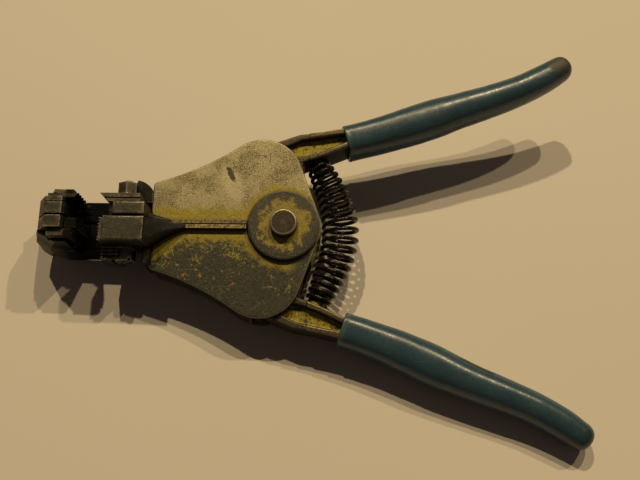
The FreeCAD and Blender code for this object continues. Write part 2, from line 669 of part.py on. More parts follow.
def outer_gripper():
    """Rounded steel pad in the moving jaw's pocket."""
    pad = box(-77.4, PAD_X1, FINGER_Y1 + 0.1, PAD_Y1, 17.0, 31.0)
    pad = rounded(pad, 2.0, lambda c, e: abs(c.x - PAD_X1) < 0.01 and abs(c.y - PAD_Y1) < 0.01)
    pad = serrated(pad, PAD_X1, FINGER_Y1 + 0.1, 5.0, 1)
    return pad.cut(rod_y(*OUTER_GRIP_SCREW, 0, 20, OUTER_SCREW_R))


def outer_gripper_face():
    """Thin serrated facing on the moving finger, opposite the fixed gripper."""
    y0, y1 = 0.7, FINGER_Y1
    return serrated(box(FINGER_X, EDGE_OUTER_X, y0, y1, 17.6, 30.6), EDGE_OUTER_X, y0, y1, 1)


def side_guide():
    """Ribbed steel pack beside the fixed gripper."""
    x0, x1, top = -60.2, -54.2, 26.0
    block = box(x0, x1, GUIDE_Y0, GUIDE_Y1, 15.5, top)
    pitch, groove_w = 1.25, 0.35
    for k in range(3):
        y = 9.7 + pitch * k
        block = block.cut(box(x0 - PAST, x0 + 0.8, y, y + groove_w, 15, 27))
        block = block.cut(box(x0 - PAST, x1 + PAST, y, y + groove_w, top - 0.6, 27))
    return block.cut(rod_y(*GRIP_SCREW, 0, 20, 4.2))


# ---- pivot ------------------------------------------------------------------------------------
def pivot_disc(z0, outer_z):
    """Disc pressed on the stud, with its rim rounded on the outer side."""
    disc = rod(0, 0, z0, z0 + DISC_T, DISC_R).cut(rod(0, 0, z0 - PAST, z0 + DISC_T + PAST, STUD_R))
    rim_length = 60
    return rounded(disc, 0.5, lambda c, e: e.Length > rim_length and abs(c.z - outer_z) < 0.01)


# ---- put every piece in its node --------------------------------------------------------------
def build():
    stud = rod(0, 0, 0, STUD_LENGTH, STUD_R)
    parts["pivot_stud"] = rounded(stud, 0.45, lambda c, e: c.z > STUD_LENGTH - 1)
    parts["front_pivot_disc"] = pivot_disc(FRONT_Z, FRONT_Z + DISC_T)
    parts["back_pivot_disc"] = pivot_disc(BACK_Z - DISC_T, BACK_Z - DISC_T)
    washer = rod(0, 0, Z_MID - 0.25, Z_MID + 0.25, HUB_WASHER_R)
    parts["hub_washer"] = washer.cut(rod(0, 0, 0, 30, STUD_R + FIT))

    parts["blade_frame"] = blade_frame()
    parts["grip_frame"] = grip_frame()
    middle = BACK_Z + PLATE_T / 2
    parts["blade_frame_cover"] = back_cover(BACK_Z, middle - EAR_GAP / 2)
    parts["grip_frame_cover"] = lower(back_cover(middle + EAR_GAP / 2, CAVITY_Z0))
    screws = cover_screws()
    parts["blade_cover_screws"] = Part.makeCompound(screws)
    parts["grip_cover_screws"] = Part.makeCompound([lower(s) for s in screws])

    parts["blade_handle"] = handle(Z_MID + 0.3, CAVITY_Z1 - ARM_GAP, 0)
    parts["grip_handle"] = lower(handle(CAVITY_Z0 + ARM_GAP, Z_MID - 0.3, LOWER_SPLAY))
    parts["blade_grip_sleeve"] = grip_sleeve(0)
    parts["grip_grip_sleeve"] = lower(grip_sleeve(LOWER_SPLAY))
    parts["blade_crank_pin"] = crank_pin()
    parts["grip_crank_pin"] = lower(crank_pin())
    parts["main_spring"] = main_spring()

    parts["blade_outer_jaw"] = outer_jaw(BLADE_FOOT_Y1, BLADE_RAIL_X1, OUTER_BLADE_SCREW)
    parts["grip_outer_jaw"] = lower(grip_outer_jaw())
    parts["blade_draw_bar"] = draw_bar()
    parts["grip_draw_bar"] = lower(draw_bar())
    parts["blade_jaw_rivets"] = Part.makeCompound(jaw_rivets())
    parts["grip_jaw_rivets"] = Part.makeCompound([lower(r) for r in jaw_rivets()])

    parts["inner_blade"] = inner_blade()
    parts["inner_blade_spacer"] = inner_blade_spacer()
    parts["inner_blade_washer"] = washer_y(BLADE_SCREW, BLADE_Y1, 8.8, INNER_SCREW_R, 3.9)
    parts["inner_blade_nut"] = nut_y(BLADE_SCREW, 8.8, 13.0, 6.2, INNER_SCREW_R)
    screw_end = 14.0
    threaded = rod_y(*BLADE_SCREW, SCREW_TIP_Y, screw_end, INNER_SCREW_R)
    parts["inner_blade_screw"] = rounded(threaded, 0.5, lambda c, e: c.y > screw_end - 0.1)
    parts["outer_blade"] = outer_blade()
    parts["outer_blade_spacer"] = outer_blade_spacer()
    parts["outer_blade_clamp"] = outer_blade_clamp()
    head_r, head_h = 2.4, 0.6
    parts["outer_blade_screw"] = screw_y(OUTER_BLADE_SCREW, SCREW_TIP_Y, CLAMP_Y1, OUTER_SCREW_R,
                                         head_r, head_h)
    parts["inner_gripper"] = lower(inner_gripper())
    parts["outer_gripper"] = lower(outer_gripper())
    parts["outer_gripper_face"] = lower(outer_gripper_face())
    set_screw = rod_y(*OUTER_GRIP_SCREW, SCREW_TIP_Y, PAD_Y1, OUTER_SCREW_R)
    parts["outer_gripper_screw"] = lower(set_screw)
    parts["side_guide"] = lower(side_guide())
    head_y = GUIDE_Y0 + 1.0
    parts["inner_gripper_washer"] = lower(washer_y(GRIP_SCREW, GUIDE_Y0, head_y, INNER_SCREW_R, 3.9))
    parts["inner_gripper_screw"] = lower(screw_y(GRIP_SCREW, 3.0, head_y, INNER_SCREW_R, 3.4, 4.0))


build()
os.makedirs("parts", exist_ok=True)
for name, shape in parts.items():
    if len(shape.Solids) == 1:
        shape = shape.Solids[0]
    b = shape.BoundBox
    print("%-22s solids %d valid %s volume %9.1f  box %s" % (
        name, len(shape.Solids), shape.isValid(), shape.Volume,
        " ".join("%.1f" % v for v in (b.XMin, b.XMax, b.YMin, b.YMax, b.ZMin, b.ZMax))))
    shape.exportStep("parts/%s.step" % name)
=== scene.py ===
"""Looks of the automatic wire stripper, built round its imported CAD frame.  Metres, CAD frame:
+X towards the handles, +Y towards the cutting side, +Z out of the front face."""
import json
import math

import bmesh
import bpy
import numpy as np
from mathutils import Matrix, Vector


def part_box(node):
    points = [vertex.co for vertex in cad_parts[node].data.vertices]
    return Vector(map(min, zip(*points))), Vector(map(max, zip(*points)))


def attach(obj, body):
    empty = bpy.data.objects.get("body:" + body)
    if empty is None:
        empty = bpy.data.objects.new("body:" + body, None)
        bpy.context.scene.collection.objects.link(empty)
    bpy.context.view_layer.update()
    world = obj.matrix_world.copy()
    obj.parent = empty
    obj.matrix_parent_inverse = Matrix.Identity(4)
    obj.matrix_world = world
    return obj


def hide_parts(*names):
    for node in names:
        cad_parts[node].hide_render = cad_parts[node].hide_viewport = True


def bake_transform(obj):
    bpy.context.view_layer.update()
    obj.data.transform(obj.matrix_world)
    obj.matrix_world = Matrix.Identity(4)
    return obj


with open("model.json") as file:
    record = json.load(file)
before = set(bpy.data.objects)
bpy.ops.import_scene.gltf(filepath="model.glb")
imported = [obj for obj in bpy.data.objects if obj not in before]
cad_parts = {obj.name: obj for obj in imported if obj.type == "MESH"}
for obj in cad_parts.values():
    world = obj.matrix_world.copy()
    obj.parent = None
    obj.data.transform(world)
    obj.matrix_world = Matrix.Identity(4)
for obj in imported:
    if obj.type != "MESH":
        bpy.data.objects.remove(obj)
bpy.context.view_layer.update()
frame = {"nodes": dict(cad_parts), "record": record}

MM = 0.001
NODES = frame["nodes"]
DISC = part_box("front_pivot_disc")
DISC_R = DISC[1].x / MM                        # sizes in millimetres from here on
PLATE_Z = DISC[0].z / MM                       # front face of the painted plates
DISC_TOP = DISC[1].z / MM
STUD_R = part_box("pivot_stud")[1].x / MM
STUD_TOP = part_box("pivot_stud")[1].z / MM
HEAD_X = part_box("blade_frame_cover")[0].x / MM
Z_MID = (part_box("blade_handle")[0].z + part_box("blade_handle")[1].z) / 2 / MM
SHANK_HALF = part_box("blade_handle")[1].z / MM - Z_MID
WEB_HALF = 3.75                                # half thickness of the web between the flanges
RIM_Z = 22.9                                   # top of the raised rim beside the split


# ---- shader helper ------------------------------------------------------------------------------
class Shader:
    """One material and a short way to add and link its nodes; positions are in millimetres."""

    def __init__(self, name):
        self.material = bpy.data.materials.new(name)
        self.material.use_nodes = True
        self.tree = self.material.node_tree
        self.tree.nodes.clear()
        place = self.node("ShaderNodeTexCoord").outputs["Object"]
        self.coord = self.node("ShaderNodeVectorMath", {"operation": "SCALE"}, Vector=place,
                               Scale=1 / MM).outputs[0]
        self.x, self.y, self.z = self.node("ShaderNodeSeparateXYZ", Vector=self.coord).outputs

    def node(self, kind, settings=None, **inputs):
        made = self.tree.nodes.new(kind)
        for key, value in (settings or {}).items():
            setattr(made, key, value)
        for key, value in inputs.items():
            self.feed(made.inputs[key.replace("_", " ")], value)
        return made

    def feed(self, socket, value):
        if isinstance(value, bpy.types.NodeSocket):
            self.tree.links.new(value, socket)
        elif isinstance(value, tuple) and socket.type == "RGBA":
            socket.default_value = (*value, 1.0)
        else:
            socket.default_value = value

    def calc(self, operation, a, b=0.0):
        made = self.node("ShaderNodeMath", {"operation": operation})
        self.feed(made.inputs[0], a)
        self.feed(made.inputs[1], b)
        return made.outputs[0]

    def all_of(self, *masks):
        out = masks[0]
        for mask in masks[1:]:
            out = self.calc("MULTIPLY", out, mask)
        return out

    def any_of(self, *masks):
        out = masks[0]
        for mask in masks[1:]:
            out = self.calc("MAXIMUM", out, mask)
        return out

    def noise(self, scale, detail=4.0, roughness=0.6, stretch=(1, 1, 1), turn=0.0, shift=0.0):
        """Cloudy noise, about 0.3 to 0.7, with scale in features per millimetre."""
        place = self.node("ShaderNodeMapping", Vector=self.coord, Scale=stretch,
                          Rotation=(0, 0, math.radians(turn)), Location=(shift, shift * 0.7, 0))
        made = self.node("ShaderNodeTexNoise", Vector=place.outputs[0], Scale=scale, Detail=detail,
                         Roughness=roughness)
        return made.outputs["Fac"]

    def step(self, value, low, high):
        """0 at low, 1 at high, smooth between; low may be the larger one."""
        made = self.node("ShaderNodeMapRange", {"interpolation_type": "SMOOTHSTEP"})
        turned = low > high
        for key, number in (("From Min", min(low, high)), ("From Max", max(low, high)),
                            ("To Min", 1.0 if turned else 0.0), ("To Max", 0.0 if turned else 1.0)):
            self.feed(made.inputs[key], number)
        self.feed(made.inputs["Value"], value)
        return made.outputs[0]

    def mix(self, fac, a, b):
        made = self.node("ShaderNodeMix", {"data_type": "RGBA"})
        self.feed(made.inputs[0], fac)
        self.feed(made.inputs[6], a)
        self.feed(made.inputs[7], b)
        return made.outputs[2]

    def blend(self, fac, a, b):
        """Mix of two numbers."""
        made = self.node("ShaderNodeMix", {"data_type": "FLOAT"})
        for socket, value in zip(made.inputs[:1] + made.inputs[2:4], (fac, a, b)):
            self.feed(socket, value)
        return made.outputs[0]

    def radius(self):
        """Distance from the stud's axis."""
        squares = self.calc("ADD", self.calc("MULTIPLY", self.x, self.x),
                            self.calc("MULTIPLY", self.y, self.y))
        return self.calc("SQRT", squares)

    def facing(self):
        """How far the surface faces up towards the front: 1 on top, 0 on upright walls."""
        normal = self.node("ShaderNodeNewGeometry").outputs["Normal"]
        return self.node("ShaderNodeSeparateXYZ", Vector=normal).outputs[2]

    def edges(self, width, low=0.003, high=0.028):
        """1 along sharp edges, within about width of them, broken up by noise."""
        soft = self.node("ShaderNodeBevel", {"samples": 6}, Radius=width * MM).outputs[0]
        true = self.node("ShaderNodeNewGeometry").outputs["True Normal"]
        dot = self.node("ShaderNodeVectorMath", {"operation": "DOT_PRODUCT"})
        self.feed(dot.inputs[0], soft)
        self.feed(dot.inputs[1], true)
        turn = self.calc("SUBTRACT", 1.0, dot.outputs["Value"])
        return self.all_of(self.step(turn, low, high), self.step(self.noise(0.9, 3.0), 0.36, 0.52))

    def crevice(self, reach, low=0.35, high=0.95):
        """1 in the open, falling to 0 where surfaces meet within reach."""
        made = self.node("ShaderNodeAmbientOcclusion", {"samples": 8}, Distance=reach * MM)
        return self.step(made.outputs["AO"], low, high)

    def finish(self, colour, roughness, metallic=0.0, height=None, bump=0.3, depth=0.1, **extra):
        out = self.node("ShaderNodeOutputMaterial")
        bsdf = self.node("ShaderNodeBsdfPrincipled", Base_Color=colour, Roughness=roughness,
                         Metallic=metallic, **extra)
        if height is not None:
            relief = self.node("ShaderNodeBump", Strength=bump, Distance=depth * MM, Height=height)
            self.feed(bsdf.inputs["Normal"], relief.outputs[0])
        self.tree.links.new(bsdf.outputs[0], out.inputs["Surface"])
        return self.material


# ---- materials ----------------------------------------------------------------------------------
# nearly black: painted shade for the low faces and hollows of the steel
STEEL_PAINTED_SHADE = (0.008, 0.008, 0.007)
STEEL_DARK = (0.022, 0.020, 0.016)
# rubbed colour for upward faces: rubbed wear and painted light on the tops
STEEL_RUBBED_AND_LIT = (0.088, 0.086, 0.060)
# pale edge colour: worn metal and painted glints
STEEL_EDGE = (0.46, 0.43, 0.33)
YELLOW = (0.41, 0.348, 0.036)
# dark colour for creases and joins: dirt and painted shade
DIRT_AND_SHADE = (0.016, 0.014, 0.010)
JAW_GAP_X = (-72.6, -61.0)     # x of the hollow between the outer and the fixed jaws, painted black as shade
# Marks in millimetres, as blob() takes them: x, y, turn in degrees, half length and half width.
GOUGE = (-18.7, 18.2, -62.0, 2.9, 1.15)
GOUGE_PIT = (-19.6, 20.3, -20.0, 1.1, 0.7)
GOUGE_HALO = (-18.2, 15.4, -68.0, 8.0, 3.6)    # paler patch round the gouge
SCRATCHED = (-9.0, 18.0, 15.0, 12.0, 8.0)      # where the upper plate's scratches are dense
VINYL_WORN = (100.0, 64.0, 28.0, 5.0, 3.2)     # dirty patch near the upper sleeve's tip


def steel_look(s, rubbed_and_lit_colour=STEEL_RUBBED_AND_LIT, edge_width=0.5, deep_z=23.0, grime_and_shade=1.0):
    """Blackened steel: rubbed and lit paler on its upward faces, worn bright with painted glints on its
    edges, painted nearly black as shade low down and in hollows.

    Gives the colour, the roughness, the strength of the gloss and a fine grain."""
    cloud = s.noise(0.35, 5.0, 0.65)
    grain = s.noise(2.6, 3.0, 0.6, shift=5.0)
    # upward faces, high ones most, take the rubbed colour: rubbed wear and painted light from above
    up = s.step(s.facing(), 0.55, 0.95)
    # low faces, below about deep_z, are painted nearly black as shade
    high = s.step(s.z, deep_z - 3.0, deep_z + 4.0)
    rubbed_and_lit = s.step(s.calc("ADD", cloud, s.calc("MULTIPLY", grain, 0.35)), 0.50, 0.72)
    rubbed_and_lit = s.all_of(s.blend(rubbed_and_lit, 0.45, 1.0), up, s.blend(high, 0.25, 1.0))
    colour = s.mix(rubbed_and_lit, s.mix(high, STEEL_PAINTED_SHADE, STEEL_DARK), rubbed_and_lit_colour)
    mottle = s.noise(3.0, 4.0, 0.75, shift=80.0)
    light, dark = s.step(mottle, 0.50, 0.62), s.step(mottle, 0.48, 0.38)
    colour = s.mix(s.all_of(light, up, s.blend(high, 0.1, 0.55)), colour, (0.150, 0.140, 0.098))
    colour = s.mix(s.all_of(dark, up, s.blend(high, 0.2, 0.60)), colour, (0.030, 0.028, 0.021))
    # pale edges and blotches beside them, weaker low down: worn metal and painted glints
    broken = s.step(s.noise(0.45, 3.0, 0.6, shift=60.0), 0.44, 0.54)
    bright = s.all_of(s.edges(edge_width), s.blend(high, 0.25, 0.90), s.blend(broken, 0.25, 1.0))
    blotch = s.all_of(s.edges(2.2, 0.001, 0.05), up, s.blend(high, 0.1, 0.9), s.step(cloud, 0.40, 0.58))
    colour = s.mix(s.all_of(blotch, s.step(grain, 0.36, 0.56)), colour, (0.34, 0.305, 0.200))
    colour = s.mix(bright, colour, STEEL_EDGE)
    speckle = s.step(s.noise(4.5, 2.0, 0.5, shift=31.0), 0.66, 0.72)
    colour = s.mix(s.all_of(speckle, up, s.blend(high, 0.1, 0.5)), colour, (0.24, 0.23, 0.17))
    # creases and joins darkened: dirt and painted shade
    colour = s.mix(s.crevice(1.4, 0.30, 0.90), DIRT_AND_SHADE, colour)
    # the gap between the jaws and deep hollows are painted nearly black as shade; the last argument sets
    # how strongly
    gap_start, gap_end = JAW_GAP_X
    between = s.all_of(s.step(s.x, gap_start, gap_start + 1.4), s.step(s.x, gap_end, gap_end - 1.4),
                       s.step(s.y, 13.0, 10.0))
    hollow = s.any_of(s.step(s.crevice(8.0, 0.0, 1.0), 0.74, 0.34), s.calc("MULTIPLY", between, 0.9))
    hidden = s.calc("MULTIPLY", hollow, grime_and_shade)
    colour = s.mix(hidden, colour, STEEL_PAINTED_SHADE)
    gloss = s.calc("MULTIPLY", s.blend(high, 0.15, 0.55), s.blend(hidden, 1.0, 0.1))
    return colour, s.blend(rubbed_and_lit, 0.46, 0.36), gloss, grain


def squiggles(s, scale, shift, width=0.020):
    """Thin curved scratches along the middle level of a slow noise."""
    level = s.calc("ABSOLUTE", s.calc("SUBTRACT", s.noise(scale, 1.5, 0.45, shift=shift), 0.5))
    patchy = s.step(s.noise(scale * 1.3, 1.0, 0.4, shift=shift + 40.0), 0.53, 0.57)
    return s.all_of(s.step(level, width, width * 0.35), patchy)


def blob(s, x, y, turn, half_length, half_width):
    """Distance from a point in units of a turned ellipse."""
    moved = s.node("ShaderNodeVectorMath", {"operation": "SUBTRACT"})
    s.feed(moved.inputs[0], s.coord)
    moved.inputs[1].default_value = (x, y, 0)
    shaped = s.node("ShaderNodeMapping", {"vector_type": "TEXTURE"}, Vector=moved.outputs[0],
                    Rotation=(0, 0, math.radians(turn)), Scale=(half_length, half_width, 1e4))
    return s.node("ShaderNodeVectorMath", {"operation": "LENGTH"},
                  Vector=shaped.outputs[0]).outputs["Value"]


def frame_paint(name, upper):
    """Casting of one half: worn yellow paint over grey, with a blackened head; the upper half's colours are
    painted lighter than the lower half's as a painted sheen.
    """
    s = Shader(name)
    away = s.calc("ABSOLUTE", s.y)
    radius = s.radius()
    cloud = s.noise(0.13, 5.0, 0.62, shift=3.0)
    patch = s.noise(0.34, 6.0, 0.70, shift=11.0)
    grain = s.noise(1.1, 5.0, 0.75)
    speck = s.noise(3.2, 4.0, 0.7, shift=2.0)
    ragged = s.calc("MULTIPLY", s.calc("SUBTRACT", patch, 0.5), 17.0)
    ragged = s.calc("ADD", ragged, s.calc("MULTIPLY", s.calc("SUBTRACT", grain, 0.5), 6.0))
    band_edge = s.calc("ADD", away, ragged)
    ring_edge = s.calc("ADD", radius, s.calc("MULTIPLY", ragged, 0.5))

    # bare metal under the paint, much lighter on the upper half than on the lower one: a painted sheen
    if upper:
        base = s.mix(s.step(cloud, 0.42, 0.58), (0.215, 0.185, 0.088), (0.420, 0.375, 0.220))
        base = s.mix(s.step(s.x, -4.0, -34.0), s.mix(0.22, base, (0.16, 0.130, 0.05)), base)
        base = s.mix(s.step(speck, 0.50, 0.62), base, (0.60, 0.56, 0.39))
        base = s.mix(s.step(s.calc("ADD", grain, speck), 0.96, 0.72), base, (0.110, 0.095, 0.050))
        band = s.step(band_edge, 7.4, 4.2)
        ring = s.step(ring_edge, 15.6, 13.4)
        amount = 0.60
    else:
        base = s.mix(s.step(cloud, 0.38, 0.62), (0.058, 0.060, 0.044), (0.088, 0.088, 0.062))
        base = s.mix(s.step(speck, 0.52, 0.66), base, (0.170, 0.162, 0.110))
        base = s.mix(s.step(grain, 0.50, 0.36), base, (0.036, 0.036, 0.027))
        near_neck = s.calc("MULTIPLY", s.step(s.x, -33.0, -44.0), 6.5)
        band = s.step(s.calc("SUBTRACT", band_edge, near_neck), 7.4, 4.6)
        ring = s.all_of(s.step(ring_edge, 16.4, 13.8), s.step(s.x, 7.0, -1.0))
        amount = 0.85
    fleck = s.calc("ADD", s.noise(0.30, 8.0, 0.80, shift=23.0), s.calc("MULTIPLY", grain, 0.60))
    fleck = s.calc("SUBTRACT", fleck, s.calc("MULTIPLY", away, 0.004))
    fleck = s.step(fleck, 0.905, 0.955) if upper else s.step(fleck, 0.80, 0.86)
    paint = s.any_of(band, ring, s.calc("MULTIPLY", fleck, amount))
    paint = s.all_of(paint, s.step(s.calc("ADD", grain, s.calc("MULTIPLY", speck, 0.35)), 0.84, 0.76))
    # the yellow's darker tone is lighter on the upper half too: a painted sheen
    shade = (0.300, 0.235, 0.036) if upper else (0.230, 0.182, 0.030)
    clean = s.step(s.calc("ADD", grain, s.calc("MULTIPLY", speck, 0.5)), 0.60, 0.85)
    yellow = s.mix(clean, shade, YELLOW)
    colour = s.mix(paint, base, yellow)

    # pits, scratches and, on the upper plate, a gouge
    pits = s.all_of(s.step(speck, 0.36, 0.30), s.step(cloud, 0.42, 0.52))
    colour = s.mix(s.calc("MULTIPLY", pits, 0.65), colour, (0.055, 0.048, 0.028))
    lines = s.calc("MULTIPLY", squiggles(s, 0.14, 4.0, 0.010), 0.6)
    if upper:
        busy = s.step(blob(s, *SCRATCHED), 1.25, 0.85)
        dense = s.any_of(squiggles(s, 0.16, 22.0, 0.018), squiggles(s, 0.21, 71.0, 0.018))
        lines = s.any_of(lines, s.calc("MULTIPLY", dense, busy))
    dark_line = (0.085, 0.070, 0.034) if upper else (0.19, 0.18, 0.13)
    colour = s.mix(s.calc("MULTIPLY", lines, 0.70), colour, dark_line)
    scuffs = s.noise(0.5, 1.0, 0.3, stretch=(0.10, 3.5, 1), turn=24, shift=1.0)
    scuffs = s.all_of(s.step(scuffs, 0.70, 0.76), s.step(cloud, 0.55, 0.45))
    scuffed = (0.50, 0.47, 0.34) if upper else (0.20, 0.19, 0.13)
    colour = s.mix(s.calc("MULTIPLY", scuffs, 0.35), colour, scuffed)
    height = s.calc("ADD", grain, s.calc("MULTIPLY", paint, 0.6))
    height = s.calc("SUBTRACT", height, s.calc("MULTIPLY", s.any_of(lines, pits), 0.9))
    if upper:
        jitter = s.calc("MULTIPLY", s.calc("SUBTRACT", grain, 0.5), 1.6)
        halo = s.calc("ADD", blob(s, *GOUGE_HALO), jitter)
        colour = s.mix(s.calc("MULTIPLY", s.step(halo, 1.1, 0.6), 0.45), colour, (0.62, 0.57, 0.38))
        torn = s.calc("ADD", blob(s, *GOUGE), jitter)
        pit = blob(s, *GOUGE_PIT)
        gouge = s.any_of(s.step(torn, 1.0, 0.7), s.step(pit, 1.0, 0.8))
        colour = s.mix(s.calc("MULTIPLY", gouge, 0.9), colour, (0.050, 0.042, 0.026))
        height = s.calc("SUBTRACT", height, s.calc("MULTIPLY", gouge, 3.0))

    # painted highlight along the rounded outer edge, rim beside the split, side walls, then the head
    lip = s.all_of(s.step(s.z, PLATE_Z - 0.75, PLATE_Z - 0.5),
                   s.step(s.z, PLATE_Z - 0.03, PLATE_Z - 0.12))
    colour = s.mix(s.calc("MULTIPLY", lip, 0.7), colour, (0.36, 0.34, 0.25))
    # rim beside the split: specks of painted glint on its top, its sides painted dark as the shade at its
    # foot
    rim = s.all_of(s.step(s.z, PLATE_Z + 0.15, PLATE_Z + 0.3), s.step(away, 1.7, 1.55))
    bright = (0.38, 0.31, 0.145) if upper else (0.54, 0.425, 0.16)
    rim_look = s.mix(s.step(s.calc("ADD", grain, speck), 0.92, 1.12), (0.095, 0.075, 0.032), bright)
    colour = s.mix(rim, colour, s.mix(s.step(s.z, PLATE_Z + 1.2, PLATE_Z + 1.7), DIRT_AND_SHADE, rim_look))
    # side walls painted nearly black as shade, with patches of yellow paint
    side = s.step(s.z, PLATE_Z - 0.6, PLATE_Z - 0.85)
    wall_shade = s.mix(s.step(patch, 0.54, 0.62), (0.028, 0.026, 0.021), (0.070, 0.058, 0.026))
    colour = s.mix(side, colour, wall_shade)
    # paler sharp edges: worn metal and painted highlight
    colour = s.mix(s.calc("MULTIPLY", s.edges(0.45), 0.7), colour, (0.42, 0.39, 0.29))
    # the neck: bare dark metal, darkened further as painted shade
    neck = s.all_of(s.step(s.z, PLATE_Z + 0.02, PLATE_Z + 0.1), s.step(s.x, -31.5, -33.0),
                    s.any_of(s.step(away, 1.52, 1.62), s.step(s.z, RIM_Z + 0.02, RIM_Z + 0.12)))
    neck_metal_and_shade = s.mix(s.step(patch, 0.50, 0.66), (0.020, 0.018, 0.015), (0.050, 0.044, 0.034))
    colour = s.mix(neck, colour, neck_metal_and_shade)
    head = s.step(s.x, HEAD_X + 0.05, HEAD_X - 0.15)
    steel, steel_rough, steel_gloss, _ = steel_look(s)
    colour = s.mix(head, colour, steel)
    # creases and joins darkened: dirt and painted shade
    colour = s.mix(s.crevice(1.3, 0.42, 0.96), DIRT_AND_SHADE, colour)
    roughness = s.blend(paint, s.blend(s.step(cloud, 0.4, 0.6), 0.50, 0.40), 0.52)
    roughness = s.blend(s.any_of(head, neck), roughness, steel_rough)
    metallic = s.blend(head, s.blend(paint, 0.30, 0.0), 0.40)
    gloss = s.blend(s.any_of(head, neck), 0.36, steel_gloss)
    return s.finish(colour, roughness, metallic, height, 0.35, 0.11, Specular_IOR_Level=gloss)


def cover_paint():
    """Back covers: more of the yellow paint is left, chipped to grey round the edges."""
    s = Shader("cover_paint")
    patch = s.noise(0.25, 6.0, 0.68)
    grain = s.noise(1.9, 4.0, 0.65)
    worn = s.any_of(s.step(s.calc("ADD", patch, s.calc("MULTIPLY", grain, 0.3)), 0.66, 0.72),
                    s.edges(0.8), squiggles(s, 0.22, 14.0))
    yellow = s.mix(s.step(grain, 0.4, 0.65), YELLOW, (0.20, 0.16, 0.032))
    colour = s.mix(worn, yellow, s.mix(grain, (0.07, 0.07, 0.05), (0.19, 0.18, 0.13)))
    # creases and joins darkened: dirt and painted shade
    colour = s.mix(s.crevice(1.5), DIRT_AND_SHADE, colour)
    height = s.calc("SUBTRACT", grain, s.calc("MULTIPLY", worn, 0.7))
    return s.finish(colour, s.blend(worn, 0.48, 0.40), s.calc("MULTIPLY", worn, 0.35), height, 0.3, 0.12)


def disc_steel():
    """Grey disc with a worn ring of yellow paint round the stud, a painted highlight round its top edge and
    painted shade on its side.
    """
    s = Shader("disc_steel")
    radius = s.radius()
    patch = s.noise(0.36, 7.0, 0.76, shift=17.0)
    grain = s.noise(1.9, 4.0, 0.70)
    ragged = s.calc("MULTIPLY", s.calc("SUBTRACT", patch, 0.5), 20.0)
    ragged = s.calc("ADD", ragged, s.calc("MULTIPLY", s.calc("SUBTRACT", grain, 0.5), 7.0))
    painted = s.all_of(s.step(s.calc("ADD", radius, ragged), 8.8, 7.8),
                       s.step(radius, DISC_R - 1.1, DISC_R - 1.9), s.step(grain, 0.64, 0.57))
    grey = s.mix(s.step(patch, 0.4, 0.6), (0.050, 0.051, 0.038), (0.090, 0.087, 0.058))
    grey = s.mix(s.step(grain, 0.51, 0.63), grey, (0.16, 0.15, 0.105))
    yellow = s.mix(s.step(grain, 0.38, 0.58), (0.20, 0.158, 0.030), (0.42, 0.335, 0.035))
    colour = s.mix(painted, grey, yellow)
    # painted highlight round the disc's top edge
    rim = s.all_of(s.step(s.z, DISC_TOP - 0.5, DISC_TOP - 0.25),
                   s.step(s.z, DISC_TOP - 0.02, DISC_TOP - 0.1))
    colour = s.mix(s.calc("MULTIPLY", rim, 0.45), colour, (0.30, 0.28, 0.21))
    # the disc's side painted dark as shade
    colour = s.mix(s.step(s.z, DISC_TOP - 0.45, DISC_TOP - 0.75), colour, (0.030, 0.028, 0.021))
    # creases and joins darkened: dirt and painted shade
    colour = s.mix(s.crevice(1.3, 0.3, 0.9), DIRT_AND_SHADE, colour)
    return s.finish(colour, s.blend(painted, 0.38, 0.52), s.blend(painted, 0.35, 0.0), grain, 0.3, 0.12)


def stud_steel():
    """Turned stud: brown-grey end with faint turning rings, a painted sheen at its centre, a bright chamfer
    that is a painted highlight and painted shade on its side.
    """
    s = Shader("stud_steel")
    radius = s.radius()
    rings = s.calc("SINE", s.calc("MULTIPLY", radius, 16.0))
    grain = s.noise(1.4, 4.0, 0.6)
    colour = s.mix(s.step(grain, 0.35, 0.65), (0.058, 0.045, 0.034), (0.105, 0.083, 0.062))
    # painted sheen at the centre of the end
    colour = s.mix(s.step(radius, 1.3, 0.2), colour, (0.125, 0.102, 0.078))
    # painted highlight on the chamfer
    colour = s.mix(s.step(radius, STUD_R - 0.75, STUD_R - 0.4), colour, (0.34, 0.30, 0.23))
    # the stud's side painted dark as shade
    colour = s.mix(s.step(s.z, STUD_TOP - 0.4, STUD_TOP - 0.7), colour, (0.075, 0.064, 0.045))
    # creases and joins darkened: dirt and painted shade
    colour = s.mix(s.crevice(1.2, 0.3, 0.9), DIRT_AND_SHADE, colour)
    height = s.calc("ADD", grain, s.calc("MULTIPLY", rings, 0.2))
    return s.finish(colour, 0.38, 0.6, height, 0.25, 0.05)


def jaw_steel():
    """Blackened outer jaws, draw bars, grippers and clamp, with the outer jaw's low foot painted paler."""
    s = Shader("jaw_steel")
    colour, roughness, gloss, grain = steel_look(s)
    # the outer jaw's low foot is painted paler
    foot = s.all_of(s.step(s.x, -74.0, -79.0), s.step(s.z, 21.0, 17.0), s.step(s.y, -2.0, -8.0))
    paler_foot = s.mix(s.step(grain, 0.35, 0.65), (0.075, 0.068, 0.050), (0.21, 0.195, 0.145))
    colour = s.mix(s.calc("MULTIPLY", foot, 0.9), colour, paler_foot)
    return s.finish(colour, roughness, 0.40, grain, 0.35, 0.09, Specular_IOR_Level=gloss)


def blade_steel():
    """Both cutting blades and the fixed one's spacer, with faint streaks from grinding."""
    s = Shader("blade_steel")
    colour, _, _, _ = steel_look(s, (0.19, 0.172, 0.125), 0.30, 20.0, 0.6)
    ground = s.noise(1.2, 2.0, 0.5, stretch=(0.3, 1, 6))
    streak = s.step(ground, 0.48, 0.66)
    colour = s.mix(s.calc("MULTIPLY", streak, 0.5), colour, (0.20, 0.185, 0.14))
    return s.finish(colour, s.blend(ground, 0.26, 0.42), 0.65, ground, 0.3, 0.05)


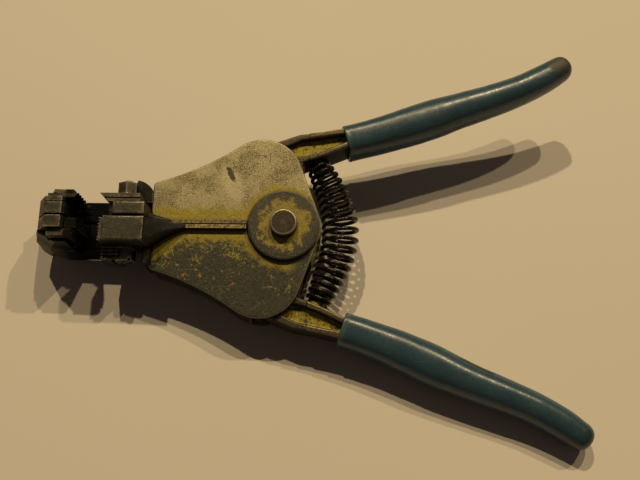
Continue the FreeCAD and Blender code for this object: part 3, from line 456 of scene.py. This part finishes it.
def screw_steel():
    """Screws, nut, rivets, pins and washers, brighter along their edges: a painted highlight."""
    s = Shader("screw_steel")
    colour, roughness, _, grain = steel_look(s, (0.20, 0.18, 0.13), 0.45, 16.0, 0.35)
    # painted highlight along the edges, for the glint of the chamfers
    colour = s.mix(s.calc("MULTIPLY", s.edges(0.8, 0.002, 0.020), 0.8), colour, (0.50, 0.45, 0.34))
    return s.finish(colour, s.calc("MULTIPLY", roughness, 0.8), 0.6, grain, 0.25, 0.06)


def handle_cast():
    """I-shaped shank: yellow web between bare, hand-rubbed flanges, whose side walls are painted dark as
    shade.
    """
    s = Shader("handle_cast")
    patch = s.noise(0.34, 6.0, 0.70)
    grain = s.noise(1.7, 4.0, 0.70)
    level = s.calc("ABSOLUTE", s.calc("SUBTRACT", s.z, Z_MID))
    top = s.step(level, SHANK_HALF - 0.9, SHANK_HALF - 0.35)
    web = s.all_of(s.step(level, WEB_HALF + 0.5, WEB_HALF + 0.1),
                   s.step(s.calc("ABSOLUTE", s.facing()), 0.7, 0.9),
                   s.step(s.calc("ABSOLUTE", s.y), 24.6, 25.4))
    yellow = s.mix(s.step(grain, 0.36, 0.60), (0.26, 0.212, 0.030), (0.47, 0.392, 0.040))
    chipped = s.step(s.calc("ADD", patch, s.calc("MULTIPLY", grain, 0.35)), 0.72, 0.78)
    marks = squiggles(s, 0.50, 9.0, 0.035)
    yellow = s.mix(s.any_of(chipped, marks), yellow, (0.085, 0.070, 0.036))
    bare = s.mix(s.step(grain, 0.36, 0.66), (0.080, 0.064, 0.032), (0.225, 0.188, 0.100))
    # the flanges' side walls painted nearly black as shade
    flange_wall_shade = s.mix(s.step(patch, 0.45, 0.6), (0.026, 0.023, 0.017), (0.060, 0.052, 0.030))
    colour = s.mix(web, s.mix(top, flange_wall_shade, bare), yellow)
    # paler edges on the flange tops: worn metal and painted highlight
    colour = s.mix(s.calc("MULTIPLY", s.all_of(s.edges(0.5), top), 0.7), colour, (0.42, 0.39, 0.29))
    # creases and joins darkened: dirt and painted shade
    colour = s.mix(s.crevice(1.3, 0.25, 0.80), DIRT_AND_SHADE, colour)
    height = s.calc("SUBTRACT", grain, s.calc("MULTIPLY", s.calc("MULTIPLY", marks, web), 1.2))
    return s.finish(colour, s.blend(web, 0.36, 0.5), s.calc("MULTIPLY", top, 0.5), height, 0.35, 0.12,
                    Specular_IOR_Level=0.3)


def spring_wire():
    """Dark wire, rubbed bright in places, partly as painted glints, and painted shade where the coils come
    close.
    """
    s = Shader("spring_wire")
    grain = s.noise(2.5, 3.0, 0.6)
    # bright patches: rubbed wire and painted glints
    rub_and_glint = s.step(s.noise(0.8, 4.0, 0.7, shift=9.0), 0.52, 0.70)
    colour = s.mix(rub_and_glint, (0.026, 0.022, 0.018), (0.190, 0.162, 0.115))
    # darker where the coils come close: painted shade
    colour = s.mix(s.crevice(1.2, 0.15, 0.75), (0.006, 0.005, 0.004), colour)
    return s.finish(colour, s.blend(rub_and_glint, 0.20, 0.32), 0.55, grain, 0.15, 0.04)


def vinyl():
    """Dipped vinyl: dusty blue-green, with grimy tips, a worn patch and a paler rolled mouth."""
    s = Shader("vinyl")
    cloud = s.noise(0.07, 4.0, 0.6)
    grain = s.noise(1.1, 4.0, 0.6)
    fine = s.noise(6.0, 2.0, 0.5)
    colour = s.mix(s.step(cloud, 0.35, 0.65), (0.036, 0.083, 0.115), (0.050, 0.104, 0.135))
    colour = s.mix(s.calc("MULTIPLY", s.step(grain, 0.45, 0.75), 0.35), colour, (0.070, 0.110, 0.115))
    along = s.calc("ADD", s.x, s.calc("MULTIPLY", s.calc("ABSOLUTE", s.y), 0.35))
    mouth = s.step(along, 34.2, 32.8)
    colour = s.mix(s.calc("MULTIPLY", mouth, 0.45), colour, (0.13, 0.18, 0.19))
    uneven = s.calc("MULTIPLY", s.calc("SUBTRACT", cloud, 0.5), 26.0)
    tip = s.step(s.calc("ADD", along, uneven), 117.0, 124.0)
    upper = s.step(s.y, 0.0, 10.0)
    grime_and_shade = s.mix(upper, (0.020, 0.020, 0.020), (0.080, 0.067, 0.045))
    colour = s.mix(s.calc("MULTIPLY", tip, 0.55), colour, grime_and_shade)
    patch = s.calc("ADD", blob(s, *VINYL_WORN),
                   s.calc("MULTIPLY", s.calc("SUBTRACT", grain, 0.5), 0.9))
    patch = s.all_of(s.step(patch, 1.05, 0.85), s.step(s.z, Z_MID, Z_MID + 2.0))
    patch_look = s.mix(s.step(fine, 0.4, 0.6), (0.045, 0.040, 0.030), (0.090, 0.082, 0.062))
    colour = s.mix(s.calc("MULTIPLY", patch, 0.85), colour, patch_look)
    smear = s.step(s.noise(0.16, 3.0, 0.6, stretch=(0.5, 1.6, 1), turn=18, shift=50.0), 0.56, 0.70)
    colour = s.mix(s.calc("MULTIPLY", smear, 0.40), colour, (0.030, 0.048, 0.055))
    scuffs = s.step(s.noise(0.5, 1.0, 0.3, stretch=(0.12, 3.5, 1), turn=20, shift=3.0), 0.70, 0.76)
    colour = s.mix(s.calc("MULTIPLY", scuffs, 0.25), colour, (0.16, 0.18, 0.17))
    roughness = s.calc("ADD", s.blend(s.step(grain, 0.35, 0.7), 0.27, 0.36), s.calc("MULTIPLY", smear, 0.1))
    roughness = s.blend(patch, roughness, 0.6)
    height = s.calc("ADD", s.calc("MULTIPLY", cloud, 2.0), s.calc("ADD", s.calc("MULTIPLY", grain, 0.20),
                                                                  s.calc("MULTIPLY", fine, 0.02)))
    return s.finish(colour, roughness, 0.0, height, 0.35, 0.25, Specular_IOR_Level=0.65)


# ---- camera, floor and lights -------------------------------------------------------------------
# Lengths and places in metres, lamp power in watts.
FLOOR_SIZE = 1.8
FLOOR_GAP = 0.0001      # the floor lies this far below that plane
LAMP_SIZE = 0.07
LAMP_TINT = (1.0, 0.80, 0.50)
LAMPS = (("key", (-0.44, 2.02, 2.20), 34.0), ("second", (0.59, 2.02, 2.20), 26.0),
         ("third", (1.60, 2.07, 2.20), 26.0))
ROOM_TINT = (1.0, 0.72, 0.62)
ROOM_LIGHT = 0.064


def make_camera():
    data = bpy.data.cameras.new("camera")
    data.lens = 42.92
    data.sensor_width = 36.0
    data.clip_start = 0.01
    camera = bpy.data.objects.new("camera", data)
    camera.location = (0.0131, -0.0738, 0.2705)
    camera.rotation_euler = (math.radians(15.45), 0.0, math.radians(0.62))
    bpy.context.scene.collection.objects.link(camera)
    bpy.context.scene.camera = camera


def resting_plane():
    """Plane that stands for the table: through the lowest points of stud, lower sleeve and jaw."""
    nodes = ("pivot_stud", "grip_grip_sleeve", "grip_outer_jaw")
    clouds = [np.array([v.co[:] for v in NODES[n].data.vertices]) for n in nodes]
    normal = np.array([0.0, 0.2, 1.0])
    for _ in range(8):
        a, b, c = (cloud[np.argmin(cloud @ normal)] for cloud in clouds)
        normal = np.cross(c - a, b - a)
        normal = normal / np.linalg.norm(normal) * np.sign(normal[2])
    return Vector(a), Vector(normal)


def lamp(name, place, power):
    data = bpy.data.lights.new(name, "AREA")
    data.shape = "DISK"
    data.size = LAMP_SIZE
    data.energy = power
    data.color = LAMP_TINT
    light = bpy.data.objects.new(name, data)
    light.location = place
    light.rotation_euler = (-Vector(place)).to_track_quat("-Z", "Y").to_euler()
    bpy.context.scene.collection.objects.link(light)


def make_stage():
    point, normal = resting_plane()
    bpy.ops.mesh.primitive_plane_add(size=FLOOR_SIZE)
    floor = bpy.context.object
    floor.name = "floor"
    floor.rotation_mode = "QUATERNION"
    floor.rotation_quaternion = normal.to_track_quat("Z", "Y")
    floor.location = point - normal * FLOOR_GAP
    s = Shader("floor")
    tone = s.noise(0.004, 3.0, 0.5)
    speck = s.noise(0.9, 2.0, 0.5)
    colour = s.mix(tone, (0.69, 0.65, 0.58), (0.73, 0.695, 0.62))
    floor.data.materials.append(s.finish(colour, 0.6, 0.0, speck, 0.04, 0.2, Specular_IOR_Level=0.2))

    for name, place, power in LAMPS:
        lamp(name, place, power)
    world = bpy.data.worlds.new("world")
    world.use_nodes = True
    background = world.node_tree.nodes["Background"]
    background.inputs[0].default_value = (*ROOM_TINT, 1)
    background.inputs[1].default_value = ROOM_LIGHT
    bpy.context.scene.world = world
    bpy.context.scene.view_settings.view_transform = "Standard"
    bpy.context.scene.view_settings.gamma = 0.88


# ---- grips --------------------------------------------------------------------------------------
# Stations along a sleeve in millimetres: x and y of its middle, half width and half thickness.
SLEEVE = [
    (21.2, 33.3, 5.9, 7.3),
    (32.0, 36.3, 6.15, 7.4),
    (43.0, 39.95, 6.7, 7.5),
    (53.0, 43.5, 6.95, 7.5),
    (63.0, 47.05, 6.3, 7.3),
    (74.0, 50.8, 5.8, 7.0),
    (85.0, 55.15, 5.4, 6.5),
    (94.5, 60.1, 5.2, 6.0),
    (100.5, 63.85, 4.75, 5.6),
]
SLEEVE_ROWS = 84
SLEEVE_TIP = 4.324      # how far the rounded tip stands past the last station
TIP_START = 0.98        # size that the tip's sections start from, as a share of the last station's
SLEEVE_SLIM = 0.015     # taken off the size of the sections between mouth and tip
LOWER_SPLAY = 2.4       # degrees that the lower sleeve turns outwards, more than the upper one
LOWER_BOW = 0.9         # how much the lower sleeve bows outwards at its middle
BOW_SPAN = (36.0, 100.0)       # x between which it bows
AROUND = 56             # points round a section
LIP = 0.032             # how far the rolled mouth stands out
MOUTH_WALL = (1.25, 0.44)      # shares of a mouth step's inset that count in plan and in depth
# Steps of the mouth from the tang out to the rim: depth along the sleeve, then inset.
MOUTH = ((2.2, 1.55), (0.9, 1.55), (0.35, 1.35), (0.05, 0.9), (0.02, 0.5), (0.15, 0.18), (0.45, 0.02))


def smooth_stations(count):
    """Catmull-Rom curve through the stations: count rows of x, y, half width, half thickness."""
    rows = np.array([SLEEVE[0]] + SLEEVE + [SLEEVE[-1]], float)
    rows[0] = 2 * rows[1] - rows[2]
    rows[-1] = 2 * rows[-2] - rows[-3]
    out = []
    for value in np.linspace(0, len(SLEEVE) - 1 - 1e-9, count):
        i = int(value)
        t = value - i
        a, b, c, d = rows[i:i + 4]
        out.append(0.5 * (2 * b + (c - a) * t + (2 * a - 5 * b + 4 * c - d) * t * t
                          + (3 * b - a - 3 * c + d) * t ** 3))
    return np.array(out)


def ring(centre, normal, half_w, half_t, power):
    points = []
    for k in range(AROUND):
        a = 2 * math.pi * k / AROUND
        c, s = math.cos(a), math.sin(a)
        u = math.copysign(abs(c) ** power, c) * half_w
        w = math.copysign(abs(s) ** power, s) * half_t
        points.append((centre[0] + normal[0] * u, centre[1] + normal[1] * u, Z_MID + w))
    return points


def skin(name, rings, material):
    """Closed mesh through rings with the same number of points, capped at both ends with a fan."""
    mesh = bpy.data.meshes.new(name)
    points = [p for one in rings for p in one]
    n = len(rings[0])
    faces = []
    for r in range(len(rings) - 1):
        for k in range(n):
            m = (k + 1) % n
            faces.append((r * n + k, r * n + m, (r + 1) * n + m, (r + 1) * n + k))
    for one, order in ((0, -1), (len(rings) - 1, 1)):
        points.append(tuple(np.mean(rings[one], axis=0)))
        hub = len(points) - 1
        for k in range(n):
            pair = (one * n + k, one * n + (k + 1) % n)
            faces.append((hub, *pair[::order]))
    mesh.from_pydata([tuple(c * MM for c in p) for p in points], [], faces)
    edit = bmesh.new()
    edit.from_mesh(mesh)
    bmesh.ops.recalc_face_normals(edit, faces=edit.faces)
    edit.to_mesh(mesh)
    edit.free()
    mesh.shade_smooth()
    mesh.materials.append(material)
    piece = bpy.data.objects.new(name, mesh)
    bpy.context.scene.collection.objects.link(piece)
    return piece


def dipped(i, side):
    """Size of section i, about 1: the slight unevenness of dipped vinyl."""
    return 1 + 0.004 * math.sin(i * 0.55 + side * 1.7) + 0.002 * math.sin(i * 1.31)


def grip(side, splay, material):
    """One vinyl sleeve with a rolled mouth and a rounded tip; side is 1 for the upper one, else -1."""
    rows = smooth_stations(SLEEVE_ROWS)
    if side < 0:
        start, end = BOW_SPAN
        share = np.clip((rows[:, 0] - start) / (end - start), 0, 1)
        rows[:, 1] += LOWER_BOW * np.sin(math.pi * share) ** 2
    c, s = math.cos(math.radians(splay)), math.sin(math.radians(splay))
    plan = [(x * c - y * s, x * s + y * c) for x, y in rows[:, :2]]
    heads = []
    for i in range(len(plan)):
        a, b = plan[max(i - 1, 0)], plan[min(i + 1, len(plan) - 1)]
        length = math.hypot(b[0] - a[0], b[1] - a[1])
        heads.append(((b[0] - a[0]) / length, (b[1] - a[1]) / length))
    rings = []

    def add(i, shift, shrink_w, shrink_t):
        (x, y), (u, v), (half_w, half_t) = plan[i], heads[i], rows[i, 2:]
        place = (x + u * shift, y + v * shift)
        power = 0.68 + 0.22 * min(1.0, 2.2 * i / len(plan))     # squarish at the mouth, then rounder
        rings.append(ring(place, (-v, u), half_w * shrink_w, half_t * shrink_t, power))

    half_w, half_t = rows[0, 2:]
    wall_w, wall_t = MOUTH_WALL
    for depth, inset in MOUTH:
        add(0, depth, 1 - inset * wall_w / half_w, 1 - inset * wall_t / half_t)
    add(0, 0.8, 1 + LIP / half_w, 1 + LIP / half_t)
    for i in range(1, len(plan)):
        size = dipped(i, side) - SLEEVE_SLIM
        add(i, 0.0, size, size)
    for step in range(8, 90, 8):
        a = math.radians(step)
        size = TIP_START * math.cos(a) ** 0.8
        add(len(plan) - 1, SLEEVE_TIP * math.sin(a), size, size)
    if side < 0:
        rings = [[(x, -y, z) for x, y, z in one] for one in rings]
    name = "blade_grip" if side > 0 else "grip_grip"
    piece = skin(name, rings, material)
    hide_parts(name + "_sleeve")
    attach(piece, "blade_handle" if side > 0 else "grip_handle")


# ---- main spring --------------------------------------------------------------------------------
COILS = 18.5
END_CROWDING = 0.19     # share more coils per length at both ends than on average, and fewer halfway
WIRE_R = 0.7
COIL_END_R = 3.8        # from the coil's middle to the wire's, at both ends
COIL_SWELL = 2.1        # how much more that is halfway along
HALF_CHORD = 24.3       # y of the upper end
LINE_X = 19.5           # x of the centre line halfway along
LINE_BOW = 7.8          # how much smaller its x is at both ends
CUT_ANGLE = 19.7        # degrees from +X, to each side, of the cuts between its three lengths
PER_TURN = 26           # sections in one turn of the wire
WIRE_SIDES = 12


def spring_centre(t):
    """Point on the bowed centre line and its direction, t from 0 (upper end) to 1."""
    y = HALF_CHORD * (1 - 2 * t)
    phase = math.pi / 2 * y / HALF_CHORD
    x = LINE_X - LINE_BOW * (1 - math.cos(phase))
    slope = LINE_BOW * math.sin(phase) * math.pi / 2 / HALF_CHORD
    return Vector((x, y, Z_MID)), Vector((slope, -1, 0)).normalized()


def wire_point(t):
    centre, along = spring_centre(t)
    out = Vector((-along.y, along.x, 0))
    turn = COILS * (2 * math.pi * t + END_CROWDING * math.sin(2 * math.pi * t))
    reach = COIL_END_R + COIL_SWELL * math.sin(math.pi * min(max(t, 0), 1)) ** 0.8
    return centre + out * (reach * math.cos(turn)) + Vector((0, 0, reach * math.sin(turn)))


def wire_ring(t):
    here = wire_point(t)
    ahead = (wire_point(t + 1e-4) - wire_point(t - 1e-4)).normalized()
    centre = spring_centre(t)[0]
    away = (here - centre) - ahead * (here - centre).dot(ahead)
    away.normalize()
    across = ahead.cross(away)
    points = []
    for k in range(WIRE_SIDES):
        a = 2 * math.pi * k / WIRE_SIDES
        points.append(tuple(here + (away * math.cos(a) + across * math.sin(a)) * WIRE_R))
    return points


def spring_share(target_angle):
    """t at which the centre line passes a direction from the stud."""
    low, high = 0.0, 1.0
    for _ in range(40):
        middle = (low + high) / 2
        centre = spring_centre(middle)[0]
        if math.degrees(math.atan2(centre.y, centre.x)) > target_angle:
            low = middle
        else:
            high = middle
    return low


def main_spring(material):
    """The spring in three lengths, cut where the centre line passes CUT_ANGLE to each side of +X."""
    upper, lower = spring_share(CUT_ANGLE), spring_share(-CUT_ANGLE)
    spans = (("spring_upper", 0.0, upper, "blade_handle", "blade_frame"),
             ("spring_middle", upper, lower, "blade_frame", "grip_frame"),
             ("spring_lower", lower, 1.0, "grip_frame", "grip_handle"))
    for name, start, end, body_a, body_b in spans:
        count = max(8, round((end - start) * COILS * PER_TURN))
        rings = [wire_ring(t) for t in np.linspace(start, end, count + 1)]
        piece = skin(name, rings, material)
        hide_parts("main_spring")
        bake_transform(piece)


# ---- put it together ----------------------------------------------------------------------------
# Width of the rounded edges in millimetres, by material slot.
BEVEL = {"frame_paint": 0.22, "jaw_steel": 0.28, "blade_steel": 0.10, "handle_cast": 0.80,
         "screw_steel": 0.15}
WELD = 0.000002         # metres


def bevelled(node, width):
    """Break the sharp edges of a CAD node with modifiers only."""
    weld = node.modifiers.new("weld", "WELD")
    weld.merge_threshold = WELD
    bevel = node.modifiers.new("bevel", "BEVEL")
    bevel.width = width * MM
    bevel.segments = 3
    bevel.limit_method = "ANGLE"
    bevel.angle_limit = math.radians(38)
    bevel.harden_normals = True
    bevel.use_clamp_overlap = node.name.endswith("frame")


make_camera()
make_stage()

finishes = {
    "cover_paint": cover_paint(), "disc_steel": disc_steel(), "stud_steel": stud_steel(),
    "jaw_steel": jaw_steel(), "blade_steel": blade_steel(), "screw_steel": screw_steel(),
    "handle_cast": handle_cast(), "spring_wire": spring_wire(), "vinyl": vinyl(),
}
paint = {"blade_frame": frame_paint("frame_paint_upper", True),
         "grip_frame": frame_paint("frame_paint_lower", False)}
for row in frame["record"]["subparts"]:
    node = NODES[row["node"]]
    slot = row["material_slot"]
    node.data.materials.clear()
    node.data.materials.append(paint[row["node"]] if slot == "frame_paint" else finishes[slot])
    if slot in BEVEL:
        bevelled(node, BEVEL[slot])

grip(1, 0.0, finishes["vinyl"])
grip(-1, LOWER_SPLAY, finishes["vinyl"])
main_spring(finishes["spring_wire"])
